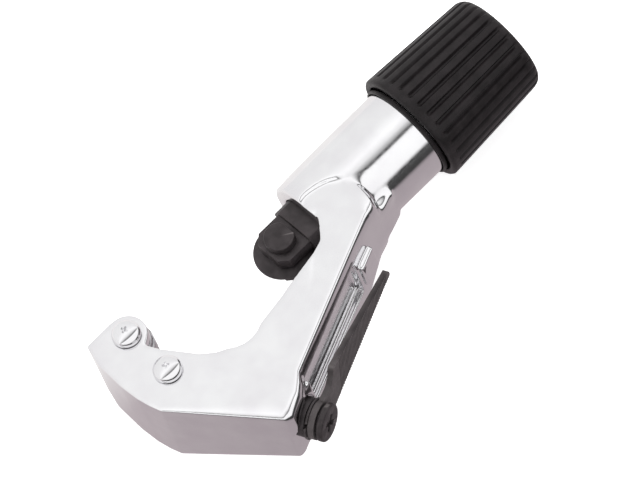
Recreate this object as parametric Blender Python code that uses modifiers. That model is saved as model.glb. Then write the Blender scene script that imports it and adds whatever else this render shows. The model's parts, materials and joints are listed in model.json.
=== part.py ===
"""Pipe cutter with a C-shaped frame, a screw-fed cutting wheel, two guide rollers and a folding reamer.

The tool frame: +X runs along the feed axis towards the knob, +Y points out of the throat and +Z points
out of the front face. Its origin is the centre of the cutting wheel with the throat fully open. The
whole tool hangs on one empty, which lays it down on its back: it rests on the knob, the heel of the
arm and a roller nut.
"""
import math

import bmesh
import bpy
from mathutils import Matrix, Vector

MM = 0.001
GAP = 0.3

# Frame: one casting with a barrel, an arm and a jaw
FRAME_THICKNESS = 27.0
BARREL_RADIUS = 14.15
MOUTH_RADIUS = 13.7
BARREL_MOUTH_X = 9.8
BARREL_END_X = 66.0
BORE_RADIUS = 9.5
BORE_END_X = 57.5
COUNTERBORE_X = 60.0
COUNTERBORE_RADIUS = 10.0
ARM_CORNER = Vector((-37.3, -45.9))
ARM_SLOPE = math.radians(23.5)
ARM_BACK_DEPTH = 3.85
PAD_DEPTH = 1.95
HEEL_PAD = (8.0, 14.0, 18.0)
UPPER_PAD = (51.0, 58.5, 10.2)
BACK_POCKET = ((14.5, -7.0, -6.3), (50.5, 7.5, 3.0))
FACE_TILT = math.radians(-1.6)
RIM_ROUND = (0.6, 0.6)
CHEEK_THICKNESS = 3.4
JAW_FLOOR_X = -57.0

# Rollers and their screws
ROLLER_X = -49.4
ROLLER_OFFSET_Y = 8.3
ROLLER_RADIUS = 6.5
ROLLER_AXLE_RADIUS = 2.0
SCREW_HEAD_RADIUS = 4.2
SCREW_HEAD_HEIGHT = 3.1
NUT_WIDTH = 7.6
NUT_HEIGHT = 2.6

# Cutting wheel and its carrier
WHEEL_RADIUS = 9.0
WHEEL_HUB_WIDTH = 3.2
FORK_GAP = 3.9
CARRIER_RADIUS = 9.2
CARRIER_FLAT = 7.0
CARRIER_TOP_X = 54.0
EAR_STEP_X = 5.2
EAR_FACE = 5.9
EAR_END_X = -5.0
PIN_RADIUS = 2.0
PIN_HEAD_RADIUS = 4.35
PIN_HEAD_HEIGHT = 2.5

# Feed screw and its thrust bearing
SPINDLE_RADIUS = 5.0
SPINDLE_TIP_X = 16.0
COLLAR_X = (61.6, 64.0)
COLLAR_RADIUS = 8.7
BUSH_X = (64.3, 68.0)
NECK_RADIUS = 4.0
NECK_END_X = 79.2

# Knob
KNOB_RIM_X = 48.7
KNOB_LENGTH = 36.3
KNOB_RIM_RADIUS = 17.65
KNOB_END_RADIUS = 16.0
KNOB_BORE_RADIUS = 15.3
KNOB_RIBS = 30
RIB_DEPTH = 0.8
KNOB_WEB_X = (76.5, 79.5)
KNOB_RECESS_RADIUS = 9.3

# Reamer
REAMER_PIVOT_UP = 6.8
REAMER_PIVOT_Z = 1.0
REAMER_LENGTH = 48.5
REAMER_SHOULDER_Y = 8.4
REAMER_TIP_Y = (-0.6, 1.4)
REAMER_EYE_RADIUS = 5.5
REAMER_THICKNESS = 1.8
REAMER_REST_ANGLE = math.radians(-4.0)
PIVOT_RADIUS = 2.4
PIVOT_SEAT_DEPTH = 3.4

HALF = FRAME_THICKNESS / 2
UP_ARM = Vector((math.cos(ARM_SLOPE), math.sin(ARM_SLOPE)))
OUT_OF_ARM = Vector((math.sin(ARM_SLOPE), -math.cos(ARM_SLOPE)))
PIVOT = (ARM_CORNER + UP_ARM * REAMER_PIVOT_UP).to_3d() + Vector((0, 0, REAMER_PIVOT_Z))

# The tool lies on its back, tilted about the feed axis until the heel's flat meets the ground
HEEL_FLAT_Y = 41.19
REACH = math.hypot(HALF, HEEL_FLAT_Y)
LIE_ANGLE = math.asin(KNOB_RIM_RADIUS / REACH) - math.atan2(HALF, HEEL_FLAT_Y)
TOOL_ORIGIN = Vector((-11.85, 16.02, 17.65))


def clear_scene():
    for obj in list(bpy.data.objects):
        bpy.data.objects.remove(obj, do_unlink=True)


def make_collection(name):
    collection = bpy.data.collections.new(name)
    bpy.context.scene.collection.children.link(collection)
    return collection


def make_material(name, colour, roughness, metallic):
    material = bpy.data.materials.new(name)
    material.use_nodes = True
    shader = material.node_tree.nodes["Principled BSDF"]
    shader.inputs["Base Color"].default_value = (*colour, 1.0)
    shader.inputs["Roughness"].default_value = roughness
    shader.inputs["Metallic"].default_value = metallic
    material.diffuse_color = (*colour, 1.0)
    return material


def add_empty(name, location=(0, 0, 0), parent=None, rotation=(0, 0, 0)):
    empty = bpy.data.objects.new(name, None)
    PARTS.objects.link(empty)
    empty.location = Vector(location) * MM
    empty.rotation_euler = rotation
    empty.parent = parent
    return empty


def place(name, mesh, material=None, parent=None, frame=Matrix(), smooth=40.0):
    """Make an object in the parts collection from a mesh whose points are in millimetres."""
    mesh.transform(Matrix.Scale(MM, 4) @ frame)
    mesh.name = name
    obj = bpy.data.objects.new(name, mesh)
    PARTS.objects.link(obj)
    obj.parent = parent
    if material:
        mesh.materials.append(material)
    mesh.shade_smooth()
    mesh.set_sharp_from_angle(angle=math.radians(smooth))
    return obj


def as_cutter(obj):
    PARTS.objects.unlink(obj)
    CUTTERS.objects.link(obj)
    obj.hide_render = True
    obj.display_type = "WIRE"
    return obj


def mesh_from_bmesh(bm):
    mesh = bpy.data.meshes.new("shape")
    bmesh.ops.recalc_face_normals(bm, faces=bm.faces)
    bm.to_mesh(mesh)
    bm.free()
    return mesh


def box_mesh(low, high):
    low, high = Vector(low), Vector(high)
    bm = bmesh.new()
    bmesh.ops.create_cube(bm, size=1.0)
    size = high - low
    bmesh.ops.scale(bm, vec=size, verts=bm.verts)
    bmesh.ops.translate(bm, vec=(low + high) / 2, verts=bm.verts)
    return mesh_from_bmesh(bm)


def rod_mesh(radius, low, high, segments=32, end_radius=None):
    """A cylinder or cone about Z, from height low to height high."""
    bm = bmesh.new()
    end_radius = radius if end_radius is None else end_radius
    bmesh.ops.create_cone(bm, cap_ends=True, segments=segments, radius1=radius, radius2=end_radius,
                          depth=high - low)
    bmesh.ops.translate(bm, vec=(0, 0, (low + high) / 2), verts=bm.verts)
    return mesh_from_bmesh(bm)


def bake(obj):
    """Return the object's evaluated mesh, and remove the object."""
    depsgraph = bpy.context.evaluated_depsgraph_get()
    mesh = bpy.data.meshes.new_from_object(obj.evaluated_get(depsgraph))
    bpy.data.objects.remove(obj, do_unlink=True)
    return mesh


def turned_mesh(profile, segments=24):
    """Turn a profile of (radius, height) points about Z. It runs down its outer side, top to bottom."""
    mesh = bpy.data.meshes.new("profile")
    count = len(profile)
    closed = all(radius > 0 for radius, _ in profile)
    edges = [(i, i + 1) for i in range(count - 1)]
    if closed:
        edges.append((count - 1, 0))
    mesh.from_pydata([(radius, 0, height) for radius, height in profile], edges, [])
    obj = bpy.data.objects.new("profile", mesh)
    PARTS.objects.link(obj)
    screw = obj.modifiers.new("turn", "SCREW")
    screw.axis = "Z"
    screw.steps = segments
    screw.render_steps = segments
    screw.use_merge_vertices = True
    screw.merge_threshold = 0.0001
    return bake(obj)


def outline_mesh(points, low, high):
    """Extrude a closed outline of (x, y) points from height low to height high."""
    curve = bpy.data.curves.new("outline", "CURVE")
    curve.dimensions = "2D"
    curve.fill_mode = "BOTH"
    curve.extrude = (high - low) / 2
    spline = curve.splines.new("POLY")
    spline.points.add(len(points) - 1)
    for point, (x, y) in zip(spline.points, points):
        point.co = (x, y, 0, 1)
    spline.use_cyclic_u = True
    obj = bpy.data.objects.new("outline", curve)
    PARTS.objects.link(obj)
    mesh = bake(obj)
    bm = bmesh.new()
    bm.from_mesh(mesh)
    bmesh.ops.remove_doubles(bm, verts=bm.verts, dist=0.01)
    bmesh.ops.dissolve_limit(bm, angle_limit=0.001, verts=bm.verts, edges=bm.edges)
    bmesh.ops.translate(bm, vec=(0, 0, (low + high) / 2), verts=bm.verts)
    return mesh_from_bmesh(bm)


def loft_mesh(rings):
    """Join rings of the same number of points into a tube whose last ring meets its first."""
    bm = bmesh.new()
    rows = [[bm.verts.new(point) for point in ring] for ring in rings]
    count = len(rows[0])
    for row, following in zip(rows, rows[1:] + rows[:1]):
        for i in range(count):
            j = (i + 1) % count
            bm.faces.new((row[i], row[j], following[j], following[i]))
    return mesh_from_bmesh(bm)


def arc(centre, radius, start, end, steps):
    """Points along a circular arc, angles in degrees."""
    angles = [math.radians(start + (end - start) * i / steps) for i in range(steps + 1)]
    return [(centre[0] + radius * math.cos(a), centre[1] + radius * math.sin(a)) for a in angles]


def cut(target, cutter, operation="DIFFERENCE"):
    boolean = target.modifiers.new(operation.lower(), "BOOLEAN")
    boolean.operation = operation
    boolean.object = cutter
    boolean.solver = "EXACT"


def along_feed_axis():
    """Turn a shape made about Z so that it lies along the feed axis."""
    return Matrix.Rotation(math.pi / 2, 4, "Y")


def on_arm_back(origin):
    """A frame with X up the arm, Y out of the front face and Z out of the arm's back."""
    frame = Matrix.Identity(4)
    frame.col[0] = (*UP_ARM, 0, 0)
    frame.col[1] = (0, 0, 1, 0)
    frame.col[2] = (*OUT_OF_ARM, 0, 0)
    frame.translation = origin
    return frame


def cut_cross_recess(target, name, radius, depth, top, frame, parent):
    """Cut a cross-shaped driver recess downwards from height top."""
    width = radius * 0.34
    for number, (reach_x, reach_y) in enumerate(((radius, width), (width, radius)), 1):
        slot = box_mesh((-reach_x, -reach_y, top - depth), (reach_x, reach_y, top + 1.0))
        turned = frame @ Matrix.Rotation(math.radians(20), 4, "Z")
        cut(target, as_cutter(place(f"{name}_{number}", slot, parent=parent, frame=turned)))


def arm_point(up, out):
    """A point of the side view, measured from the heel up the arm and out of its back."""
    return tuple(ARM_CORNER + UP_ARM * up + OUT_OF_ARM * out)


def sections(points, front=RIM_ROUND, back=None):
    """Give points of the side view one rounding, (inset, depth), for the front and the back rim."""
    return [(x, y, front, back or front) for x, y in points]


def frame_sections():
    """The casting's side view with its rim roundings, clockwise from the tip of the jaw."""
    bump = (ROLLER_X, ROLLER_OFFSET_Y + 0.3)
    outline = sections([(-59.0, 14.7)] + arc(bump, 6.1, 90, -60, 9))
    outline += sections([(-48.0, 2.3), (-46.2, -1.6), (-40.1, -11.2), (-36.9, -14.3)])
    outline += sections(arc((-27.4, -9.6), 9.1, 225, 300, 5))
    outline += sections([(-13.4, -16.1), (-7.4, -14.9), (1.3, -13.4), (5.6, -12.0), (8.2, -9.0)])
    outline += sections([(11.5, -4.5), (16.0, -3.2), (20.8, -2.6), (23.6, -5.0)])
    outline += sections([(24.8, -9.0)], (1.2, 1.5), (3.0, 5.0))
    outline += sections([(24.6, -13.0)], (1.8, 3.0), (4.0, 9.0))
    outline += sections([(23.1, -16.4)], (2.2, 4.0), (5.0, 10.0))
    outline += sections([arm_point(62.6, -3.56)], (2.0, 4.0), (4.5, 9.0))
    outline += sections([arm_point(54.0, -ARM_BACK_DEPTH)], (1.3, 3.2))
    outline += sections([arm_point(14.0, -ARM_BACK_DEPTH)], (1.0, 3.0))
    outline += sections([arm_point(11.5, -2.4), arm_point(8.0, -1.4)], (2.0, 3.2))
    outline += sections([arm_point(1.4, -1.0)], (3.0, 2.6), (3.0, 4.0))
    outline += sections([arm_point(-0.4, -2.6)], (4.0, 1.6), (4.0, 4.4))
    heel, toe = Vector(arm_point(-0.9, -4.6)), Vector((-59.3, -15.7))
    for step in range(5):
        share = step / 5
        x, y = heel.lerp(toe, share)
        outline.append((x, y, (4.5 - 3.9 * share, 1.5 - 0.9 * share), (4.5 - 3.9 * share,) * 2))
    outline += sections([(-59.3, -15.7), (-60.3, -12.0), (-61.0, -7.9), (-61.3, -1.6), (-60.8, 8.3)])
    return outline


def rounded_plate_mesh(outline, half, steps=3):
    """A plate whose two rims are rounded by quarter ellipses that may differ from point to point."""
    points = [Vector(section[:2]) for section in outline]
    count = len(points)
    sides = [(points[(i + 1) % count] - points[i]).normalized() for i in range(count)]
    normals = [Vector((-side.y, side.x)) for side in sides]
    miters = [(normals[i - 1] + normals[i]) / (1 + normals[i - 1].dot(normals[i])) for i in range(count)]
    rings = []
    turns = [math.pi / 2 * step / steps for step in range(steps + 1)]
    for rim, sign, order in ((2, 1, turns), (3, -1, turns[::-1])):
        for turn in order:
            ring = []
            for point, miter, section in zip(points, miters, outline):
                inset, depth = section[rim]
                x, y = point - miter * inset * (1 - math.sin(turn))
                ring.append((x, y, sign * (half - depth * (1 - math.cos(turn)))))
            rings.append(ring)
    bm = bmesh.new()
    rows = [[bm.verts.new(point) for point in ring] for ring in rings]
    for row, following in zip(rows, rows[1:]):
        for i in range(count):
            j = (i + 1) % count
            bm.faces.new((row[i], row[j], following[j], following[i]))
    bm.faces.new(rows[0])
    bm.faces.new(rows[-1])
    return mesh_from_bmesh(bm)


def build_back_pads(body, parent):
    """Raised pads at the foot and at the top of the arm's back, with a pocket between them."""
    back = on_arm_back(ARM_CORNER.to_3d())
    for name, (low, high, width) in (("heel_pad", HEEL_PAD), ("upper_pad", UPPER_PAD)):
        pad = box_mesh((low, -width / 2, -9.0), (high, width / 2, -PAD_DEPTH))
        cut(body, as_cutter(place(name, pad, parent=parent, frame=back)), "UNION")


def cut_back_pocket(body, parent):
    back = on_arm_back(ARM_CORNER.to_3d())
    cut(body, as_cutter(place("back_pocket", box_mesh(*BACK_POCKET), parent=parent, frame=back)))


def blend_outline():
    """Side view of the wedge that carries the arm's back into the barrel."""
    foot = [arm_point(60.0, -9.0), arm_point(60.0, -3.9), arm_point(66.0, -3.0)]
    return foot + [(26.5, -15.3), (31.0, -13.6), (31.0, -9.0)]


def cut_front_face(body, parent):
    """The front face runs on into the barrel as a slightly sunk flat that ends in an arched step."""
    outline = [(-8.0, 0.0), (6.0, 13.0), (9.0, 21.2), (11.3, 23.2), (15.0, 22.9), (19.4, 21.4), (22.3, 19.0),
               (22.6, 17.0), (21.8, 15.0), (17.0, 0.0)]
    flat = outline_mesh(outline, 0.0, 4.0)
    frame = Matrix.Translation((0, -22.0, HALF)) @ Matrix.Rotation(FACE_TILT, 4, "X")
    cut(body, as_cutter(place("front_flat_face", flat, parent=parent, frame=frame)))


def build_barrel_mesh():
    profile = [(0.0, BARREL_END_X), (BARREL_RADIUS, BARREL_END_X), (BARREL_RADIUS, 28.0),
               (MOUTH_RADIUS, BARREL_MOUTH_X + 0.5), (MOUTH_RADIUS - 0.5, BARREL_MOUTH_X),
               (0.0, BARREL_MOUTH_X)]
    return turned_mesh(profile, 48)


def build_bore_mesh():
    """The carrier's bore, the spindle's hole and the counterbore for the spindle's collar, in one."""
    hole = SPINDLE_RADIUS + GAP
    profile = [(0.0, BARREL_END_X + 1), (COUNTERBORE_RADIUS, BARREL_END_X + 1),
               (COUNTERBORE_RADIUS, COUNTERBORE_X), (hole, COUNTERBORE_X), (hole, BORE_END_X),
               (BORE_RADIUS, BORE_END_X), (BORE_RADIUS, 0.0), (0.0, 0.0)]
    return turned_mesh(profile, 36)


def build_frame_body(parent, material):
    body = place("frame_body", rounded_plate_mesh(frame_sections(), HALF), material, parent)
    build_back_pads(body, parent)
    cut_back_pocket(body, parent)
    blend = outline_mesh(blend_outline(), -7.0, 7.0)
    cut(body, as_cutter(place("spine_blend", blend, parent=parent)), "UNION")
    feed = along_feed_axis()
    cut(body, as_cutter(place("barrel", build_barrel_mesh(), parent=parent, frame=feed)), "UNION")
    cut_front_face(body, parent)
    cut(body, as_cutter(place("bore", build_bore_mesh(), parent=parent, frame=feed)))
    inside = HALF - CHEEK_THICKNESS
    slot_side = ROLLER_OFFSET_Y + ROLLER_RADIUS + 0.7
    slot = box_mesh((JAW_FLOOR_X, -slot_side, -inside), (-30.0, slot_side + 5, inside))
    cut(body, as_cutter(place("roller_slot", slot, parent=parent)))
    for number, side in ((1, 1), (2, -1)):
        frame = Matrix.Translation((ROLLER_X, side * ROLLER_OFFSET_Y, 0))
        hole = rod_mesh(ROLLER_AXLE_RADIUS + GAP, -HALF - 1, HALF + 1, 20)
        cut(body, as_cutter(place(f"roller_hole_{number}", hole, parent=parent, frame=frame)))
    cut_reamer_seat(body, parent)


def cut_reamer_seat(body, parent):
    """The round seat of the reamer's boss, open towards the heel's lower corner, and the screw's hole."""
    pivot = on_arm_back(PIVOT)
    outline = [(-12.0, 0.5)] + arc((0, 0), REAMER_EYE_RADIUS + 0.7, 175, -86, 24)
    outline += [(0.4, -17.0), (-12.0, -17.0)]
    seat = outline_mesh(outline, -PIVOT_SEAT_DEPTH, 8.0)
    cut(body, as_cutter(place("reamer_seat", seat, parent=parent, frame=pivot)))
    hole = rod_mesh(PIVOT_RADIUS + GAP, -12.0, 0.0, 20)
    cut(body, as_cutter(place("pivot_hole", hole, parent=parent, frame=pivot)))


def build_ring(name, bore, radius, low, high, parent, material, frame=None, segments=24, edge=0.2):
    """A flat ring with softened edges, about the feed axis unless another frame is given."""
    profile = [(bore, high), (radius - edge, high), (radius, high - edge), (radius, low + edge),
               (radius - edge, low), (bore, low)]
    frame = along_feed_axis() if frame is None else frame
    return place(name, turned_mesh(profile, segments), material, parent, frame)


def build_thrust_parts(parent, black, bronze, steel):
    build_ring("barrel_collar", BARREL_RADIUS + GAP, BARREL_RADIUS + 0.85, KNOB_RIM_X - 1.4,
               KNOB_RIM_X - GAP, parent, black, segments=48, edge=0.1)
    build_ring("thrust_washer", SPINDLE_RADIUS + GAP, COUNTERBORE_RADIUS - 0.5, COUNTERBORE_X + GAP,
               COLLAR_X[0] - GAP, parent, bronze)
    build_ring("thrust_bush", SPINDLE_RADIUS + GAP, COUNTERBORE_RADIUS - GAP, *BUSH_X, parent, bronze)
    key = box_mesh((BARREL_MOUTH_X + 3, -3.0, -8.7), (BARREL_MOUTH_X + 23, 3.0, -CARRIER_FLAT - GAP))
    place("guide_key", key, steel, parent)


def build_roller_set(number, side, frame_parent, roller_parent, chrome, steel):
    """One roller with its screw and nut; roller_parent sits on the roller's axis."""
    axis = Matrix.Translation((ROLLER_X, side * ROLLER_OFFSET_Y, 0))
    half = HALF - CHEEK_THICKNESS - 0.4
    bore = ROLLER_AXLE_RADIUS + GAP
    groove = ROLLER_RADIUS - 1.1
    upper = [(bore, half), (ROLLER_RADIUS - 0.5, half), (ROLLER_RADIUS, half - 0.5),
             (ROLLER_RADIUS, 1.3), (groove, 0.3)]
    lower = [(radius, -height) for radius, height in reversed(upper)]
    place(f"roller_{number}", turned_mesh(upper + lower, 28), steel, roller_parent)
    seat = HALF + GAP
    dome = [(SCREW_HEAD_RADIUS * math.cos(math.radians(a)), seat + 0.7 + 2.4 * math.sin(math.radians(a)))
            for a in (90, 70, 50, 30, 12, 0)]
    dome[0] = (0.0, dome[0][1])
    tail = -HALF - GAP - NUT_HEIGHT
    shank = [(SCREW_HEAD_RADIUS, seat), (ROLLER_AXLE_RADIUS, seat), (ROLLER_AXLE_RADIUS, tail + 0.4),
             (ROLLER_AXLE_RADIUS - 0.4, tail), (0.0, tail)]
    screw = place(f"roller_screw_{number}", turned_mesh(dome + shank, 24), chrome, frame_parent, axis)
    cut_cross_recess(screw, f"roller_recess_{number}", 1.5, 1.4, seat + SCREW_HEAD_HEIGHT, axis,
                     frame_parent)
    nut = rod_mesh(NUT_WIDTH / math.sqrt(3), -HALF - GAP - NUT_HEIGHT, -HALF - GAP, 6)
    nut_object = place(f"roller_nut_{number}", nut, chrome, frame_parent, axis)
    hole = rod_mesh(ROLLER_AXLE_RADIUS + GAP, -HALF - NUT_HEIGHT - 2, -HALF + 1, 20)
    cut(nut_object, as_cutter(place(f"nut_hole_{number}", hole, parent=frame_parent, frame=axis)))


def build_carrier(parent, material):
    """The slide: a bar with two flats, forked round the wheel and bored for the feed screw."""
    feed = along_feed_axis()
    carrier = place("wheel_carrier", rod_mesh(CARRIER_RADIUS, EAR_END_X - 1, CARRIER_TOP_X, 36), material,
                    parent, feed)
    for name, side in (("front", 1), ("back", -1)):
        heights = sorted((side * CARRIER_FLAT, side * 20.0))
        flat = box_mesh((EAR_END_X - 5, -20, heights[0]), (CARRIER_TOP_X + 5, 20, heights[1]))
        cut(carrier, as_cutter(place(f"{name}_flat", flat, parent=parent)))
        heights = sorted((side * EAR_FACE, side * 20.0))
        step = box_mesh((EAR_END_X - 5, -20, heights[0]), (EAR_STEP_X, 20, heights[1]))
        cut(carrier, as_cutter(place(f"{name}_ear_step", step, parent=parent)))
    ears = [(CARRIER_TOP_X + 5, 12.0), (EAR_STEP_X, 12.0), (EAR_STEP_X, 6.4), (-2.5, 6.4), (EAR_END_X, 4.0),
            (EAR_END_X, -4.0), (-2.5, -6.4), (EAR_STEP_X, -6.4), (EAR_STEP_X, -12.0),
            (CARRIER_TOP_X + 5, -12.0)]
    ear_shape = as_cutter(place("ear_shape", outline_mesh(ears, -12, 12), parent=parent))
    cut(carrier, ear_shape, "INTERSECT")
    fork = box_mesh((EAR_END_X - 5, -20, -FORK_GAP / 2), (WHEEL_RADIUS + 0.5, 20, FORK_GAP / 2))
    cut(carrier, as_cutter(place("fork_slot", fork, parent=parent)))
    bore = rod_mesh(SPINDLE_RADIUS + GAP, SPINDLE_TIP_X - 2, CARRIER_TOP_X + 1, 32)
    cut(carrier, as_cutter(place("nut_bore", bore, parent=parent, frame=feed)))
    hole = rod_mesh(PIN_RADIUS + GAP, -12, 12, 20)
    cut(carrier, as_cutter(place("pin_hole", hole, parent=parent)))


def build_wheel(carrier_parent, wheel_parent, dark_steel, steel):
    hub = WHEEL_HUB_WIDTH / 2
    bore = PIN_RADIUS + GAP
    side = [(bore, hub), (4.2, hub), (4.6, hub - 0.5), (WHEEL_RADIUS - 2.6, 0.9), (WHEEL_RADIUS, 0.03)]
    profile = side + [(radius, -height) for radius, height in reversed(side)]
    place("cutting_wheel", turned_mesh(profile, 40), dark_steel, wheel_parent)
    seat = EAR_FACE + GAP
    top = seat + PIN_HEAD_HEIGHT
    tail = -EAR_FACE - 1.6
    profile = [(0.0, top), (PIN_HEAD_RADIUS - 0.4, top), (PIN_HEAD_RADIUS, top - 0.4),
               (PIN_HEAD_RADIUS, seat), (PIN_RADIUS, seat), (PIN_RADIUS, -EAR_FACE - 0.2),
               (PIN_RADIUS - 0.5, -EAR_FACE - 0.2), (PIN_RADIUS - 0.5, -EAR_FACE - 1.1),
               (PIN_RADIUS, -EAR_FACE - 1.1), (PIN_RADIUS, tail), (0.0, tail)]
    pin = place("wheel_pin", turned_mesh(profile, 24), dark_steel, carrier_parent)
    flat = box_mesh((PIN_HEAD_RADIUS - 0.95, -6, seat - 0.1), (8, 6, top + 1))
    cut(pin, as_cutter(place("pin_flat", flat, parent=carrier_parent)))
    clip = [(PIN_RADIUS - 0.2, -EAR_FACE - 0.4), (3.6, -EAR_FACE - 0.4), (3.6, -EAR_FACE - 0.9),
            (PIN_RADIUS - 0.2, -EAR_FACE - 0.9)]
    clip_object = place("pin_clip", turned_mesh(clip, 24), steel, carrier_parent)
    mouth = box_mesh((-6, -0.9, -EAR_FACE - 2), (0, 0.9, -EAR_FACE))
    cut(clip_object, as_cutter(place("clip_mouth", mouth, parent=carrier_parent)))


def knob_ring(x, radius, depth):
    """One ring of the knob's outside: a flat-topped rib, then a groove of the given depth."""
    ring = []
    pitch = 2 * math.pi / KNOB_RIBS
    for rib in range(KNOB_RIBS):
        for share, drop in ((-0.3, 0.0), (0.3, 0.0), (0.5, depth)):
            angle = -math.pi / 2 + LIE_ANGLE + pitch * (rib + share)
            reach = radius - drop
            ring.append((x, reach * math.cos(angle), reach * math.sin(angle)))
    return ring


def build_knob_shell(parent, material):
    end = KNOB_RIM_X + KNOB_LENGTH
    taper = (KNOB_RIM_RADIUS - KNOB_END_RADIUS) / KNOB_LENGTH

    def outside(x):
        return KNOB_RIM_RADIUS - taper * (x - KNOB_RIM_X)

    web_low, web_high = KNOB_WEB_X
    stations = [(KNOB_RIM_X, KNOB_BORE_RADIUS, 0), (KNOB_RIM_X, KNOB_RIM_RADIUS - 0.5, 0),
                (KNOB_RIM_X + 0.5, KNOB_RIM_RADIUS, 0), (KNOB_RIM_X + 2.6, outside(KNOB_RIM_X + 2.6), 0),
                (KNOB_RIM_X + 3.6, outside(KNOB_RIM_X + 3.6), RIB_DEPTH),
                (end - 3.0, outside(end - 3.0), RIB_DEPTH), (end - 1.6, outside(end) - 0.9, 0.1),
                (end, KNOB_END_RADIUS - 2.8, 0), (end, KNOB_RECESS_RADIUS, 0),
                (web_high, KNOB_RECESS_RADIUS, 0), (web_high, 7.3, 0), (web_low, 7.3, 0),
                (web_low, KNOB_BORE_RADIUS - 1.8, 0)]
    shell = loft_mesh([knob_ring(*station) for station in stations])
    place("knob_shell", shell, material, parent, smooth=25.0)


def build_knob_fixings(parent, steel, black):
    web_low, web_high = KNOB_WEB_X
    flange = web_low - GAP
    hub = [(NECK_RADIUS + GAP, web_high - GAP), (7.0, web_high - GAP), (7.0, flange), (9.5, flange),
           (9.5, flange - 1.7), (7.0, flange - 1.7), (7.0, BUSH_X[1] + 0.6),
           (NECK_RADIUS + GAP, BUSH_X[1] + 0.6)]
    place("knob_hub", turned_mesh(hub, 24), steel, parent, along_feed_axis())
    washer_low = web_high + GAP
    build_ring("knob_washer", 1.9, 7.0, washer_low, washer_low + 0.8, parent, steel)
    head_low = washer_low + 0.8 + GAP
    screw = [(0.0, head_low + 2.0), (2.8, head_low + 2.0), (3.6, head_low + 1.2), (3.6, head_low),
             (1.6, head_low), (1.6, head_low - 9.0), (0.0, head_low - 9.6)]
    place("knob_screw", turned_mesh(screw, 20), steel, parent, along_feed_axis())
    end = KNOB_RIM_X + KNOB_LENGTH
    rim = KNOB_RECESS_RADIUS - GAP
    cap = [(0.0, end), (8.4, end), (rim, end - 0.4), (rim, end - 1.6), (0.0, end - 1.6)]
    place("knob_cap", turned_mesh(cap, 32), black, parent, along_feed_axis())


def build_feed_screw(parent, steel):
    low, high = COLLAR_X
    radius, neck = SPINDLE_RADIUS, NECK_RADIUS
    hole, hole_end = 1.9, NECK_END_X - 10.5
    profile = [(0.0, hole_end), (hole, hole_end), (hole, NECK_END_X), (neck, NECK_END_X),
               (neck, BUSH_X[1] + GAP), (radius, BUSH_X[1] + GAP), (radius, high), (COLLAR_RADIUS, high),
               (COLLAR_RADIUS, low), (radius, low), (radius, SPINDLE_TIP_X + 1.0),
               (radius - 1.0, SPINDLE_TIP_X), (0.0, SPINDLE_TIP_X)]
    place("feed_screw", turned_mesh(profile, 24), steel, parent, along_feed_axis())


def reamer_outline():
    """The blade from above: a round eye, a straight back, and a shoulder that tapers to a narrow point."""
    eye = arc((0, 0), REAMER_EYE_RADIUS, 45, 285, 14)
    back, front = REAMER_TIP_Y
    edge = [(REAMER_LENGTH - 1.0, back - 0.1), (REAMER_LENGTH, back + 0.5), (REAMER_LENGTH, front - 0.5)]
    return eye + edge + [(REAMER_LENGTH - 1.0, front + 0.1), (12.5, REAMER_SHOULDER_Y), (8.6, 3.9)]


def build_reamer(frame_parent, reamer_parent, black, dark_steel):
    pivot = on_arm_back(PIVOT)
    stack = -GAP
    build_ring("reamer_boss", PIVOT_RADIUS + GAP, REAMER_EYE_RADIUS + 0.1, -PIVOT_SEAT_DEPTH + GAP, stack,
               frame_parent, black, pivot, 30)
    stack += GAP
    build_ring("reamer_spring_washer", PIVOT_RADIUS + GAP, 6.0, stack, stack + 0.6, frame_parent, dark_steel,
               pivot, 30, 0.1)
    stack += 0.6 + GAP
    blade = outline_mesh(reamer_outline(), stack, stack + REAMER_THICKNESS)
    rest = on_arm_back((0, 0, 0)) @ Matrix.Rotation(REAMER_REST_ANGLE, 4, "Z")
    blade_object = place("reamer_blade", blade, dark_steel, reamer_parent, rest)
    hole = rod_mesh(PIVOT_RADIUS + GAP, -2, 8, 24)
    cut(blade_object, as_cutter(place("reamer_eye", hole, parent=reamer_parent, frame=rest)))
    stack += REAMER_THICKNESS + GAP
    build_ring("reamer_washer", PIVOT_RADIUS + GAP, 4.8, stack, stack + 0.3, frame_parent, dark_steel, pivot,
               30, 0.1)
    stack += 0.3 + GAP
    profile = [(0.0, stack + 1.6), (4.6, stack + 1.6), (REAMER_EYE_RADIUS, stack + 1.0),
               (REAMER_EYE_RADIUS, stack), (PIVOT_RADIUS, stack), (PIVOT_RADIUS, -10.6), (1.8, -11.2),
               (0.0, -11.2)]
    screw = place("reamer_screw", turned_mesh(profile, 30), dark_steel, frame_parent, pivot)
    cut_cross_recess(screw, "reamer_recess", 2.6, 1.2, stack + 1.6, pivot, frame_parent)


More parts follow.
